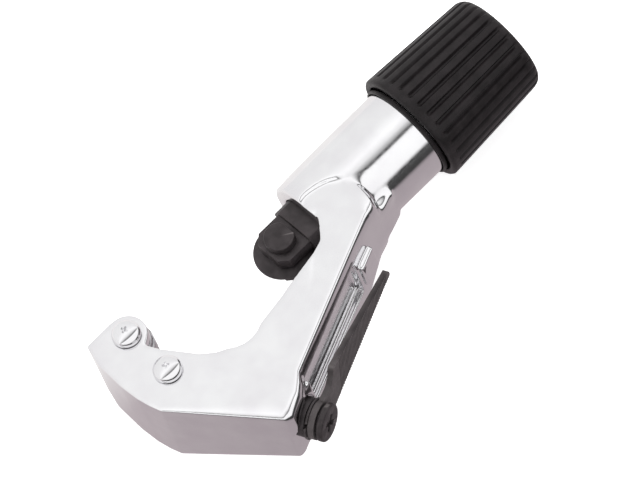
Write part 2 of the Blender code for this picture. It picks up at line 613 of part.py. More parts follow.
def main():
    chrome = make_material("chrome_plate", (0.82, 0.82, 0.84), 0.1, 1.0)
    rolled = make_material("roller_steel", (0.6, 0.6, 0.62), 0.25, 1.0)
    steel = make_material("bright_steel", (0.55, 0.55, 0.57), 0.35, 1.0)
    dark = make_material("black_oxide_steel", (0.05, 0.045, 0.05), 0.45, 0.7)
    bronze = make_material("bronze", (0.55, 0.38, 0.2), 0.4, 1.0)
    plastic = make_material("black_plastic", (0.03, 0.028, 0.03), 0.5, 0.0)
    tool = add_empty("tool", TOOL_ORIGIN, rotation=(LIE_ANGLE, 0, 0))
    build_frame_body(tool, chrome)
    build_thrust_parts(tool, plastic, bronze, steel)
    for number, side in ((1, 1), (2, -1)):
        axle = add_empty(f"roller_{number}_axle", (ROLLER_X, side * ROLLER_OFFSET_Y, 0), tool)
        build_roller_set(number, side, tool, axle, chrome, rolled)
    slide = add_empty("carrier_slide", parent=tool)
    build_carrier(slide, dark)
    build_wheel(slide, add_empty("wheel_axle", parent=slide), dark, steel)
    knob = add_empty("knob_axis", parent=tool)
    build_knob_shell(knob, plastic)
    build_knob_fixings(knob, steel, plastic)
    build_feed_screw(knob, steel)
    reamer = add_empty("reamer_hinge", PIVOT, tool)
    build_reamer(tool, reamer, plastic, dark)


clear_scene()
PARTS = make_collection("pipe_cutter")
CUTTERS = make_collection("pipe_cutter_cutters")
main()
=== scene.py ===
"""Looks of the pipe cutter: finely modelled pieces and their finishes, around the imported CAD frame."""

import json
import math

import bmesh
import bpy
from mathutils import Matrix, Vector


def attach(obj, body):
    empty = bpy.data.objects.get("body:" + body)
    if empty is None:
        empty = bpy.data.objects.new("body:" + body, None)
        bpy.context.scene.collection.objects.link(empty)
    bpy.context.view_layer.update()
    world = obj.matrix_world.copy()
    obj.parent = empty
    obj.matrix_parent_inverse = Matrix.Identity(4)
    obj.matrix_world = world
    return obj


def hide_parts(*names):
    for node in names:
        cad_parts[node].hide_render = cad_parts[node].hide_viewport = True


MM = 0.001
GAP = 0.3

# The tool frame: X along the feed axis to the knob, Y out of the throat, Z out of the front face, in mm.
# Its origin is the cutting wheel's centre. Most of these sizes repeat the CAD's.

# Frame: one casting with a barrel, an arm and a jaw
HALF = 13.5
BARREL_MOUTH_X = 9.8
BARREL_END_X = 66.0
BARREL_RADIUS = 14.15
MOUTH_RADIUS = 13.7
BORE_RADIUS = 9.5
BORE_END_X = 57.5
COUNTERBORE_X = 60.0
COUNTERBORE_RADIUS = 10.0
ARM_CORNER = Vector((-37.3, -45.9))
ARM_SLOPE = math.radians(23.5)
UP_ARM = Vector((math.cos(ARM_SLOPE), math.sin(ARM_SLOPE)))
OUT_OF_ARM = Vector((math.sin(ARM_SLOPE), -math.cos(ARM_SLOPE)))
PIVOT = (ARM_CORNER + UP_ARM * 6.8).to_3d() + Vector((0, 0, 1.0))
ARM_BACK_DEPTH = 3.85
PAD_DEPTH = 1.95
# Each pad runs from one place to another up the arm and has a width; the pocket is a box between corners
HEEL_PAD = (8.0, 14.0, 18.0)
UPPER_PAD = (51.0, 58.5, 10.2)
BACK_POCKET = ((14.5, -7.0, -6.3), (50.5, 7.5, 3.0))
FACE_TILT = math.radians(-1.6)
RIM_ROUND = (0.6, 0.6)
CHEEK = 3.4
JAW_FLOOR_X = -57.0

# Rollers and their screws; the wheel's pin has the same radius as the rollers' axles
ROLLER_X = -49.4
ROLLER_OFFSET_Y = 8.3
ROLLER_RADIUS = 6.5
AXLE_RADIUS = 2.0
SCREW_HEAD_RADIUS = 4.2
SCREW_HEAD_HEIGHT = 3.1
NUT_WIDTH = 7.6
NUT_HEIGHT = 2.6

# Cutting wheel, its carrier and the feed screw's hole
WHEEL_RADIUS = 9.0
WHEEL_HUB_WIDTH = 3.2
FORK_GAP = 3.9
PIN_HEAD_RADIUS = 4.35
PIN_HEAD_HEIGHT = 2.5
SPINDLE_HOLE_RADIUS = 5.3
SPINDLE_HOLE_X = 14.0
CARRIER_RADIUS = 9.2
CARRIER_FLAT = 7.0
CARRIER_TOP_X = 54.0
EAR_STEP_X = 5.2
EAR_FACE = 5.9
EAR_END_X = -5.0

# Knob
KNOB_RIM_X = 48.7
KNOB_LENGTH = 36.3
KNOB_RIM_RADIUS = 17.65
KNOB_END_RADIUS = 15.7
KNOB_BORE_RADIUS = 15.3
KNOB_RIBS = 30
RIB_DEPTH = 0.85
KNOB_WEB_X = (76.5, 79.5)
KNOB_WEB_HOLE_RADIUS = 7.3
KNOB_RECESS_RADIUS = 9.3
# The black ring under the knob's rim stands where the barrel lies in the knob cup's shade: a dark piece for
# painted shade
SHADE_RING_X = (KNOB_RIM_X - 1.4, KNOB_RIM_X - 0.3)

# Reamer; the stack on its pivot is given as heights out of the arm's back
REAMER_LENGTH = 48.5
REAMER_SHOULDER_X = 13.6
REAMER_SHOULDER_Y = 8.4
REAMER_TIP_Y = (-0.6, 1.4)
REAMER_REST_ANGLE = math.radians(-4.0)
EYE_RADIUS = 5.5
PIVOT_RADIUS = 2.4
PIVOT_SEAT_DEPTH = 3.4
BOSS_HEIGHTS = (-3.1, -0.3)
SPRING_HEIGHTS = (0.0, 0.6)
BLADE_HEIGHTS = (0.9, 2.7)
WASHER_HEIGHTS = (3.0, 3.3)
PIVOT_HEAD_HEIGHTS = (3.6, 5.2)
PIVOT_SCREW_END = -11.2
GROOVES = 40
GROOVE_START_X = 16.0
GROOVE_PITCH = 0.78
GROOVE_HALF_WIDTH = 0.26
GROOVE_SLANT = math.radians(-16.0)

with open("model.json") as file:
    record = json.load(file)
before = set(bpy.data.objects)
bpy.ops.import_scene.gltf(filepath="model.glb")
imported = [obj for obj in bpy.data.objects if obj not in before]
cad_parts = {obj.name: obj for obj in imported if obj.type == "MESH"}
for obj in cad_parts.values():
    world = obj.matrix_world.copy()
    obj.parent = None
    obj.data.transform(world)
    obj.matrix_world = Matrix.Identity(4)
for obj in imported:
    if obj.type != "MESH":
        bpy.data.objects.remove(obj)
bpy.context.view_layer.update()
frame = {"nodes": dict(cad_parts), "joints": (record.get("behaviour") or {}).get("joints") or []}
JOINTS = {joint["name"]: joint for joint in frame["joints"]}


def tool_frame():
    """The tool frame in the row frame, from the joints of the wheel and the knob."""
    along = -Vector(JOINTS["knob_turn"]["axis"])
    up = Vector(JOINTS["wheel_spin"]["axis"]).normalized()
    across = up.cross(along)
    matrix = Matrix.Identity(4)
    for column, vector in enumerate((along, across, up, Vector(JOINTS["wheel_spin"]["pos_m"]))):
        matrix.col[column] = (*vector, 1.0 if column == 3 else 0.0)
    return matrix


TOOL = tool_frame()
FEED = Matrix.Rotation(math.pi / 2, 4, "Y")


# ---------------------------------------------------------------- mesh helpers

def new_object(name, mesh):
    """An object with a mesh, linked to the scene."""
    obj = bpy.data.objects.new(name, mesh)
    bpy.context.scene.collection.objects.link(obj)
    return obj


def bake(obj):
    """The evaluated mesh of a helper object, which is then removed."""
    depsgraph = bpy.context.evaluated_depsgraph_get()
    mesh = bpy.data.meshes.new_from_object(obj.evaluated_get(depsgraph))
    bpy.data.objects.remove(obj, do_unlink=True)
    return mesh


def close_mesh(bm):
    """Turn a bmesh into a mesh whose faces point outwards."""
    mesh = bpy.data.meshes.new("shape")
    bmesh.ops.recalc_face_normals(bm, faces=bm.faces)
    bm.to_mesh(mesh)
    bm.free()
    return mesh


def box(low, high):
    """A block between two opposite corners, for cutting and joining."""
    low, high = Vector(low), Vector(high)
    bm = bmesh.new()
    bmesh.ops.create_cube(bm, size=1.0)
    bmesh.ops.scale(bm, vec=high - low, verts=bm.verts)
    bmesh.ops.translate(bm, vec=(low + high) / 2, verts=bm.verts)
    return close_mesh(bm)


def rod(radius, low, high, segments=96):
    """A cylinder about Z between two heights, for cutting and joining."""
    bm = bmesh.new()
    bmesh.ops.create_cone(bm, cap_ends=True, segments=segments, radius1=radius, radius2=radius,
                          depth=high - low)
    bmesh.ops.translate(bm, vec=(0, 0, (low + high) / 2), verts=bm.verts)
    return close_mesh(bm)


def turned(profile, segments=96):
    """Turn (radius, height) points about Z; a profile off the axis closes into a ring."""
    bm = bmesh.new()
    ring = all(radius > 0 for radius, _ in profile)
    verts = [bm.verts.new((radius, 0, height)) for radius, height in profile]
    pairs = list(zip(verts, verts[1:])) + ([(verts[-1], verts[0])] if ring else [])
    edges = [bm.edges.new(pair) for pair in pairs]
    bmesh.ops.spin(bm, geom=verts + edges, cent=(0, 0, 0), axis=(0, 0, 1), angle=2 * math.pi,
                   steps=segments)
    bmesh.ops.remove_doubles(bm, verts=bm.verts, dist=0.0005)
    return close_mesh(bm)


def extruded(points, low, high):
    """A closed outline of (x, y) points between two heights."""
    bm = bmesh.new()
    face = bm.faces.new([bm.verts.new((x, y, low)) for x, y in points])
    moved = bmesh.ops.extrude_face_region(bm, geom=[face])["geom"]
    verts = [item for item in moved if isinstance(item, bmesh.types.BMVert)]
    bmesh.ops.translate(bm, vec=(0, 0, high - low), verts=verts)
    return close_mesh(bm)


def loft(rings):
    """Join rings of equal length into a closed tube whose last ring meets its first."""
    bm = bmesh.new()
    rows = [[bm.verts.new(point) for point in ring] for ring in rings]
    count = len(rows[0])
    for row, following in zip(rows, rows[1:] + rows[:1]):
        for i in range(count):
            j = (i + 1) % count
            bm.faces.new((row[i], row[j], following[j], following[i]))
    return close_mesh(bm)


def arc(centre, radius, start, end, steps):
    """Points of an arc between two angles in degrees."""
    angles = [math.radians(start + (end - start) * i / steps) for i in range(steps + 1)]
    return [(centre[0] + radius * math.cos(a), centre[1] + radius * math.sin(a)) for a in angles]


def smooth_path(points, steps):
    """A Catmull-Rom curve through open (x, y) points."""
    points = [Vector(p) for p in points]
    padded = [points[0] * 2 - points[1]] + points + [points[-1] * 2 - points[-2]]
    path = []
    for p0, p1, p2, p3 in zip(padded, padded[1:], padded[2:], padded[3:]):
        for i in range(steps):
            t = i / steps
            path.append(tuple(0.5 * (2 * p1 + (p2 - p0) * t + (2 * p0 - 5 * p1 + 4 * p2 - p3) * t * t
                                     + (3 * p1 - p0 - 3 * p2 + p3) * t ** 3)))
    return path + [tuple(points[-1])]


def rounded_edge(radius, high, size, steps=3):
    """Profile points of a rounded outer top edge, from the top face to the side."""
    return [(radius - size + size * math.sin(math.pi / 2 * i / steps),
             high - size + size * math.cos(math.pi / 2 * i / steps)) for i in range(steps + 1)]


def lip(radius, high, low, size):
    """Profile points down a cylinder's side with both its outer edges rounded."""
    top = rounded_edge(radius, high, size)
    middle = (high + low) / 2
    return top + [(r, 2 * middle - h) for r, h in reversed(top)]


def mirrored(face):
    """A profile above the middle height, continued by its mirror image below."""
    return face + [(radius, -height) for radius, height in reversed(face)]


class Shape:
    """A solid being cut and joined by exact Booleans, in millimetres."""

    def __init__(self, mesh, matrix=Matrix()):
        mesh.transform(matrix)
        self.obj = new_object("shape", mesh)
        self.tools = []

    def combine(self, mesh, matrix=Matrix(), operation="DIFFERENCE"):
        mesh.transform(matrix)
        tool = new_object("tool", mesh)
        self.tools.append(tool)
        boolean = self.obj.modifiers.new("combine", "BOOLEAN")
        boolean.operation = operation
        boolean.object = tool
        boolean.solver = "EXACT"
        return self

    def cut(self, mesh, matrix=Matrix()):
        return self.combine(mesh, matrix)

    def join(self, mesh, matrix=Matrix()):
        return self.combine(mesh, matrix, "UNION")

    def bevel(self, width, segments, angle):
        bevel = self.obj.modifiers.new("bevel", "BEVEL")
        bevel.width = width
        bevel.segments = segments
        bevel.limit_method = "ANGLE"
        bevel.angle_limit = math.radians(angle)
        return self

    def remesh(self, size):
        remesh = self.obj.modifiers.new("remesh", "REMESH")
        remesh.mode = "VOXEL"
        remesh.voxel_size = size
        remesh.use_smooth_shade = True
        return self

    def relax(self, factor, rounds):
        smooth = self.obj.modifiers.new("relax", "SMOOTH")
        smooth.factor = factor
        smooth.iterations = rounds
        return self

    def mesh(self):
        mesh = bake(self.obj)
        for tool in self.tools:
            bpy.data.objects.remove(tool, do_unlink=True)
        return mesh


def add_piece(name, mesh, material, body, replaces=(), matrix=Matrix(), smooth=30.0):
    """Put a mesh given in millimetres of the tool frame in place, and hand it to its body."""
    mesh.transform(TOOL @ Matrix.Scale(MM, 4) @ matrix)
    mesh.name = name
    mesh.materials.clear()
    mesh.materials.append(material)
    mesh.shade_smooth()
    if smooth:
        mesh.set_sharp_from_angle(angle=math.radians(smooth))
    obj = new_object(name, mesh)
    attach(obj, body)
    if replaces:
        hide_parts(*replaces)
    return obj


def on_arm_back(origin):
    """A frame with X up the arm, Y out of the front face and Z out of the arm's back."""
    matrix = Matrix.Identity(4)
    matrix.col[0] = (*UP_ARM, 0, 0)
    matrix.col[1] = (0, 0, 1, 0)
    matrix.col[2] = (*OUT_OF_ARM, 0, 0)
    matrix.translation = origin
    return matrix


# ---------------------------------------------------------------- materials

class Nodes:
    """A short way to write a material's node tree."""

    def __init__(self, name):
        self.material = bpy.data.materials.new(name)
        self.material.use_nodes = True
        self.tree = self.material.node_tree
        self.shader = self.tree.nodes["Principled BSDF"]
        self.place = self.add("ShaderNodeTexCoord").outputs["Object"]

    def add(self, kind, **settings):
        node = self.tree.nodes.new(kind)
        for key, value in settings.items():
            if hasattr(node, key):
                setattr(node, key, value)
            else:
                node.inputs[key.replace("_", " ").title()].default_value = value
        return node

    def link(self, source, target):
        self.tree.links.new(source, target)

    def set(self, **values):
        for key, value in values.items():
            label = "IOR" if key == "ior" else key.replace("_", " ").title()
            self.shader.inputs[label].default_value = value

    def noise(self, scale, detail=4.0, stretch=(1, 1, 1), roughness=0.5):
        """Noise at a scale in features per metre, stretched along the row's axes."""
        mapping = self.add("ShaderNodeMapping")
        mapping.inputs["Scale"].default_value = stretch
        self.link(self.place, mapping.inputs["Vector"])
        noise = self.add("ShaderNodeTexNoise", scale=scale, detail=detail, roughness=roughness)
        self.link(mapping.outputs["Vector"], noise.inputs["Vector"])
        return noise.outputs["Fac"]

    def ramp(self, factor, stops):
        """stops is a list of (position, value or colour)."""
        ramp = self.add("ShaderNodeValToRGB")
        elements = ramp.color_ramp.elements
        while len(elements) < len(stops):
            elements.new(0.5)
        for element, (position, value) in zip(elements, stops):
            element.position = position
            element.color = (value, value, value, 1) if isinstance(value, float) else (*value, 1)
        self.link(factor, ramp.inputs["Fac"])
        return ramp.outputs["Color"]

    def math(self, operation, *values):
        node = self.add("ShaderNodeMath", operation=operation)
        for socket, value in zip(node.inputs, values):
            if isinstance(value, float):
                socket.default_value = value
            else:
                self.link(value, socket)
        return node.outputs["Value"]

    def mix(self, factor, first, second):
        node = self.add("ShaderNodeMix", data_type="RGBA")
        for socket, value in zip((node.inputs[0], node.inputs[6], node.inputs[7]), (factor, first, second)):
            if isinstance(value, (tuple, float)):
                socket.default_value = value if isinstance(value, float) else (*value, 1)
            else:
                self.link(value, socket)
        return node.outputs[2]

    def bump(self, *layers):
        """Stack bump layers of (height, strength, distance in metres)."""
        normal = None
        for height, strength, distance in layers:
            bump = self.add("ShaderNodeBump", strength=strength, distance=distance)
            self.link(height, bump.inputs["Height"])
            if normal:
                self.link(normal, bump.inputs["Normal"])
            normal = bump.outputs["Normal"]
        self.link(normal, self.shader.inputs["Normal"])


def chrome_material():
    """Bright plate over a die casting: slight waviness, faint polishing haze, tiny pits."""
    nodes = Nodes("chrome_plate")
    nodes.set(metallic=1.0)
    cloud = nodes.noise(120.0, 3.0)
    nodes.link(nodes.ramp(cloud, [(0.3, (0.80, 0.79, 0.81)), (0.7, (0.86, 0.86, 0.87))]),
               nodes.shader.inputs["Base Color"])
    haze = nodes.noise(900.0, 5.0)
    nodes.link(nodes.ramp(haze, [(0.3, 0.10), (0.75, 0.17)]), nodes.shader.inputs["Roughness"])
    nodes.bump((nodes.noise(160.0, 2.0), 0.25, 0.00012), (nodes.noise(2500.0, 3.0), 0.08, 0.00002))
    return nodes.material


def roller_material():
    """Turned steel: fine rings round the roller's axis and a little grime."""
    nodes = Nodes("roller_steel")
    nodes.set(metallic=1.0)
    grime = nodes.noise(420.0, 4.0)
    nodes.link(nodes.ramp(grime, [(0.35, (0.34, 0.33, 0.34)), (0.6, (0.62, 0.61, 0.63))]),
               nodes.shader.inputs["Base Color"])
    nodes.link(nodes.ramp(grime, [(0.3, 0.32), (0.7, 0.2)]), nodes.shader.inputs["Roughness"])
    rings = nodes.noise(1000.0, 2.0, stretch=(0.05, 0.05, 8.0))
    nodes.bump((rings, 0.3, 0.00003))
    return nodes.material


def black_oxide_material():
    """Satin black oxide: blotchy blue-brown tone, fine grain, edges lighter, partly as rubbed wear and
    partly as a painted highlight.
    """
    nodes = Nodes("black_oxide")
    nodes.set(metallic=0.35, ior=1.36)
    blotch = nodes.noise(350.0, 5.0)
    tone = nodes.ramp(blotch, [(0.3, (0.024, 0.020, 0.021)), (0.7, (0.046, 0.039, 0.041))])
    # Sharp edges are lightened: partly rubbed wear, partly a painted highlight
    edge = nodes.add("ShaderNodeNewGeometry").outputs["Pointiness"]
    rubbed_and_highlit_edge = nodes.ramp(edge, [(0.53, 0.0), (0.62, 0.40)])
    nodes.link(nodes.mix(rubbed_and_highlit_edge, tone, (0.20, 0.18, 0.18)), nodes.shader.inputs["Base Color"])
    nodes.link(nodes.ramp(nodes.noise(1400.0, 4.0), [(0.3, 0.38), (0.7, 0.52)]),
               nodes.shader.inputs["Roughness"])
    nodes.bump((nodes.noise(3200.0, 4.0), 0.25, 0.00003))
    return nodes.material


def plastic_material():
    """Moulded black plastic with a fine spark-eroded grain and a trace of dust."""
    nodes = Nodes("black_plastic")
    nodes.set(metallic=0.0, ior=1.3)
    dust = nodes.noise(260.0, 6.0)
    nodes.link(nodes.ramp(dust, [(0.35, (0.007, 0.0055, 0.006)), (0.8, (0.015, 0.012, 0.013))]),
               nodes.shader.inputs["Base Color"])
    nodes.link(nodes.ramp(nodes.noise(1800.0, 3.0), [(0.3, 0.36), (0.7, 0.48)]),
               nodes.shader.inputs["Roughness"])
    nodes.bump((nodes.noise(4200.0, 3.0), 0.3, 0.00003))
    return nodes.material


def machined_material(name, dark, light, roughness):
    """Plain turned metal for the inner parts."""
    nodes = Nodes(name)
    nodes.set(metallic=1.0)
    nodes.link(nodes.ramp(nodes.noise(500.0, 4.0), [(0.3, dark), (0.7, light)]),
               nodes.shader.inputs["Base Color"])
    nodes.link(nodes.ramp(nodes.noise(900.0, 3.0), [(0.3, roughness), (0.7, roughness + 0.12)]),
               nodes.shader.inputs["Roughness"])
    nodes.bump((nodes.noise(900.0, 2.0, stretch=(8.0, 0.1, 0.1)), 0.2, 0.00003))
    return nodes.material


def floor_material():
    """Pale paper with a faint cloudiness, lifted towards white."""
    nodes = Nodes("floor_paper")
    nodes.set(roughness=0.9)
    nodes.link(nodes.ramp(nodes.noise(6.0, 2.0), [(0.0, (0.92, 0.92, 0.92)), (1.0, (0.95, 0.95, 0.95))]),
               nodes.shader.inputs["Base Color"])
    nodes.set(emission_color=(1.0, 1.0, 1.0, 1.0), emission_strength=0.62)
    return nodes.material


def painted_reflection_floor_material():
    """What the plated surfaces see below them, as a glowing sheet: a painted reflection, dark far behind
    the arm, grey near it as painted shade of the floor beside the tool, white beyond.
    """
    nodes = Nodes("painted_reflection_floor")
    nodes.set(roughness=1.0)
    split = nodes.add("ShaderNodeSeparateXYZ")
    nodes.link(nodes.place, split.inputs["Vector"])
    across = nodes.math("MULTIPLY_ADD", split.outputs["Y"], 2.0, 0.5)
    # Painted reflection tones by place across the sheet; the grey band is painted shade beside the tool
    tone = nodes.ramp(across, [(0.37, (0.02, 0.02, 0.02)), (0.42, (0.40, 0.35, 0.37)),
                               (0.55, (0.52, 0.46, 0.48)), (0.60, (0.95, 0.93, 0.92))])
    nodes.set(base_color=(0.0, 0.0, 0.0, 1.0), emission_strength=1.0)
    nodes.link(tone, nodes.shader.inputs["Emission Color"])
    return nodes.material


CHROME = chrome_material()
ROLLER = roller_material()
OXIDE = black_oxide_material()
PLASTIC = plastic_material()
STEEL = machined_material("bright_steel", (0.42, 0.42, 0.43), (0.58, 0.58, 0.60), 0.28)
BRONZE = machined_material("bronze", (0.45, 0.29, 0.15), (0.60, 0.42, 0.24), 0.32)


# ---------------------------------------------------------------- the casting

def arm_point(up, out):
    """A point of the side view, measured from the heel up the arm and out of its back."""
    return tuple(ARM_CORNER + UP_ARM * up + OUT_OF_ARM * out)


def with_rims(points, front=RIM_ROUND, back=None):
    """Give points of the side view one rounding, (inset, depth), for the front and the back rim."""
    return [(x, y, front, back or front) for x, y in points]


def casting_sections():
    """The side view's corner points and rim roundings, clockwise from the tip of the jaw."""
    bump = (ROLLER_X, ROLLER_OFFSET_Y + 0.3)
    outline = with_rims([(-59.0, 14.7)] + arc(bump, 6.1, 90, -60, 9))
    outline += with_rims([(-48.0, 2.3), (-46.2, -1.6), (-40.1, -11.2), (-36.9, -14.3)])
    outline += with_rims(arc((-27.4, -9.6), 9.1, 225, 300, 5))
    outline += with_rims([(-13.4, -16.1), (-7.4, -14.9), (1.3, -13.4), (5.6, -12.0), (8.2, -9.0)])
    outline += with_rims([(11.5, -4.5), (16.0, -3.2), (20.8, -2.6), (23.6, -5.0)])
    outline += with_rims([(24.8, -9.0)], (1.2, 1.5), (3.0, 5.0))
    outline += with_rims([(24.6, -13.0)], (1.8, 3.0), (4.0, 9.0))
    outline += with_rims([(23.1, -16.4)], (2.2, 4.0), (5.0, 10.0))
    outline += with_rims([arm_point(62.6, -3.56)], (2.0, 4.0), (4.5, 9.0))
    outline += with_rims([arm_point(54.0, -ARM_BACK_DEPTH)], (1.3, 3.2))
    outline += with_rims([arm_point(14.0, -ARM_BACK_DEPTH)], (1.0, 3.0))
    outline += with_rims([arm_point(11.5, -2.4), arm_point(8.0, -1.4)], (2.0, 3.2))
    outline += with_rims([arm_point(1.4, -1.0)], (3.0, 2.6), (3.0, 4.0))
    outline += with_rims([arm_point(-0.4, -2.6)], (4.0, 1.6), (4.0, 4.4))
    heel, toe = Vector(arm_point(-0.9, -4.6)), Vector((-59.3, -15.7))
    for step in range(5):
        share = step / 5
        x, y = heel.lerp(toe, share)
        outline.append((x, y, (4.5 - 3.9 * share, 1.5 - 0.9 * share), (4.5 - 3.9 * share,) * 2))
    outline += with_rims([(-59.3, -15.7), (-60.3, -12.0), (-61.0, -7.9), (-61.3, -1.6), (-60.8, 8.3)])
    return outline


def subdivided(outline, length=1.2):
    """Split long sides, so that the roundings change gradually along them."""
    fine = []
    for (x0, y0, *rims0), (x1, y1, *rims1) in zip(outline, outline[1:] + outline[:1]):
        pieces = max(1, round(math.hypot(x1 - x0, y1 - y0) / length))
        for i in range(pieces):
            share = i / pieces
            rims = [tuple(a + (b - a) * share for a, b in zip(rim0, rim1))
                    for rim0, rim1 in zip(rims0, rims1)]
            fine.append((x0 + (x1 - x0) * share, y0 + (y1 - y0) * share, *rims))
    return fine


def rounded_plate(outline, half, steps=8):
    """A plate whose two rims are rounded by quarter ellipses that may differ from point to point."""
    points = [Vector(section[:2]) for section in outline]
    count = len(points)
    sides = [(points[(i + 1) % count] - points[i]).normalized() for i in range(count)]
    normals = [Vector((-side.y, side.x)) for side in sides]
    miters = [(normals[i - 1] + normals[i]) / (1 + normals[i - 1].dot(normals[i])) for i in range(count)]
    turns = [math.pi / 2 * step / steps for step in range(steps + 1)]
    rings = []
    for rim, sign, order in ((2, 1, turns), (3, -1, turns[::-1])):
        for turn in order:
            ring = []
            for point, miter, section in zip(points, miters, outline):
                inset, depth = section[rim]
                x, y = point - miter * inset * (1 - math.sin(turn))
                ring.append((x, y, sign * (half - depth * (1 - math.cos(turn)))))
            rings.append(ring)
    bm = bmesh.new()
    rows = [[bm.verts.new(point) for point in ring] for ring in rings]
    for row, following in zip(rows, rows[1:]):
        for i in range(count):
            j = (i + 1) % count
            bm.faces.new((row[i], row[j], following[j], following[i]))
    bm.faces.new(rows[0])
    bm.faces.new(rows[-1])
    return close_mesh(bm)


def build_back_pad(low, high, width):
    """A raised pad on the arm's back, above or below the pocket that the reamer folds over."""
    pad = Shape(box((low, -width / 2, -9.0), (high, width / 2, -PAD_DEPTH)))
    pad.bevel(0.7, 4, 60)
    return pad.mesh()


def build_blend():
    """The wedge that carries the arm's back into the barrel."""
    outline = [arm_point(60.0, -9.0), arm_point(60.0, -3.9), arm_point(66.0, -3.0), (26.5, -15.3),
               (31.0, -13.6), (31.0, -9.0)]
    blend = Shape(extruded(outline, -7.0, 7.0))
    blend.bevel(1.5, 4, 30)
    return blend.mesh()


def barrel_profile():
    """The barrel swells slightly from its mouth."""
    swell = [(BARREL_RADIUS, BARREL_END_X), (BARREL_RADIUS, 34.0), (BARREL_RADIUS - 0.04, 26.0),
             (BARREL_RADIUS - 0.14, 19.0), (MOUTH_RADIUS + 0.1, 12.5)]
    mouth = [(MOUTH_RADIUS, BARREL_MOUTH_X + 0.7), (MOUTH_RADIUS - 0.2, BARREL_MOUTH_X + 0.2),
             (MOUTH_RADIUS - 0.6, BARREL_MOUTH_X)]
    return [(0.0, BARREL_END_X)] + swell + mouth + [(0.0, BARREL_MOUTH_X)]


def cut_front_face(shape):
    """The front face runs on into the barrel as a slightly sunk flat that ends in an arched step."""
    arch = smooth_path([(9.0, 21.2), (11.3, 23.2), (15.0, 22.9), (19.4, 21.4), (22.3, 19.0), (22.6, 17.0),
                        (21.8, 15.0)], 5)
    outline = [(-8.0, 0.0), (6.0, 13.0)] + arch + [(17.0, 0.0)]
    matrix = Matrix.Translation((0, -22.0, HALF)) @ Matrix.Rotation(FACE_TILT, 4, "X")
    shape.cut(extruded(outline, 0.0, 4.0), matrix)


def cut_reamer_seat(shape):
    """The round seat of the reamer's boss, open towards the heel's lower corner, and the screw's hole."""
    pivot = on_arm_back(PIVOT)
    outline = [(-12.0, 0.5)] + arc((0, 0), EYE_RADIUS + 0.7, 175, -86, 48)
    outline += [(0.4, -17.0), (-12.0, -17.0)]
    shape.cut(extruded(outline, -PIVOT_SEAT_DEPTH, 8.0), pivot)
    shape.cut(rod(PIVOT_RADIUS + GAP, -12.0, 0.0, 32), pivot)


def soften(mesh, centre, reach, rounds):
    """Blend the surfaces that meet near a point, as a fillet in the casting does."""
    bm = bmesh.new()
    bm.from_mesh(mesh)
    near = [vert for vert in bm.verts if (vert.co - Vector(centre)).length < reach]
    for _ in range(rounds):
        bmesh.ops.smooth_vert(bm, verts=near, factor=0.5, use_axis_x=True, use_axis_y=True, use_axis_z=True)
    bm.to_mesh(mesh)
    bm.free()


def build_casting():
    """The frame: arm, jaw and barrel joined, hollowed, and run together as a casting's surfaces are."""
    shape = Shape(rounded_plate(subdivided(casting_sections()), HALF))
    for pad in (HEEL_PAD, UPPER_PAD):
        shape.join(build_back_pad(*pad), on_arm_back(ARM_CORNER.to_3d()))
    shape.cut(box(*BACK_POCKET), on_arm_back(ARM_CORNER.to_3d()))
    shape.join(build_blend())
    shape.join(turned(barrel_profile(), 128), FEED)
    cut_front_face(shape)
    shape.cut(rod(BORE_RADIUS, -1.0, BORE_END_X), FEED)
    shape.cut(rod(SPINDLE_HOLE_RADIUS, BORE_END_X - 1.5, BARREL_END_X + 1, 48), FEED)
    shape.cut(rod(COUNTERBORE_RADIUS, COUNTERBORE_X, BARREL_END_X + 1, 64), FEED)
    inside = HALF - CHEEK
    slot_side = ROLLER_OFFSET_Y + ROLLER_RADIUS + 0.7
    shape.cut(box((JAW_FLOOR_X, -slot_side, -inside), (-30.0, slot_side + 5, inside)))
    for side in (1, -1):
        shape.cut(rod(AXLE_RADIUS + GAP, -HALF - 1, HALF + 1, 32),
                  Matrix.Translation((ROLLER_X, side * ROLLER_OFFSET_Y, 0)))
    cut_reamer_seat(shape)
    shape.remesh(0.34)
    shape.relax(0.5, 10)
    casting = shape.mesh()
    soften(casting, (16.0, -1.0, HALF), 11.0, 8)
    soften(casting, (24.0, -11.0, 9.5), 7.5, 45)
    add_piece("frame_casting", casting, CHROME, "frame", ("frame_body",), smooth=None)


# ---------------------------------------------------------------- knob, carrier and wheel

def rib_drop(phase):
    """How far the surface lies below a rib's crown; phase runs from -0.5 to 0.5 across the rib."""
    share = min(1.0, max(0.0, (abs(phase) - 0.27) / 0.15))
    return share * share * (3 - 2 * share)


def knob_ring(x, radius, depth, samples=14):
    """One ring of the knob's surface, with ribs of a depth."""
    ring = []
    for rib in range(KNOB_RIBS):
        for sample in range(samples):
            phase = sample / samples - 0.5
            angle = -math.pi / 2 + 2 * math.pi * (rib + phase) / KNOB_RIBS
            reach = radius - depth * rib_drop(phase)
            ring.append((x, reach * math.cos(angle), reach * math.sin(angle)))
    return ring


def knob_side(x):
    """The knob's radius over its ribs, which tapers from the rim to the end."""
    share = (x - KNOB_RIM_X) / KNOB_LENGTH
    return KNOB_RIM_RADIUS + (KNOB_END_RADIUS - KNOB_RIM_RADIUS) * share


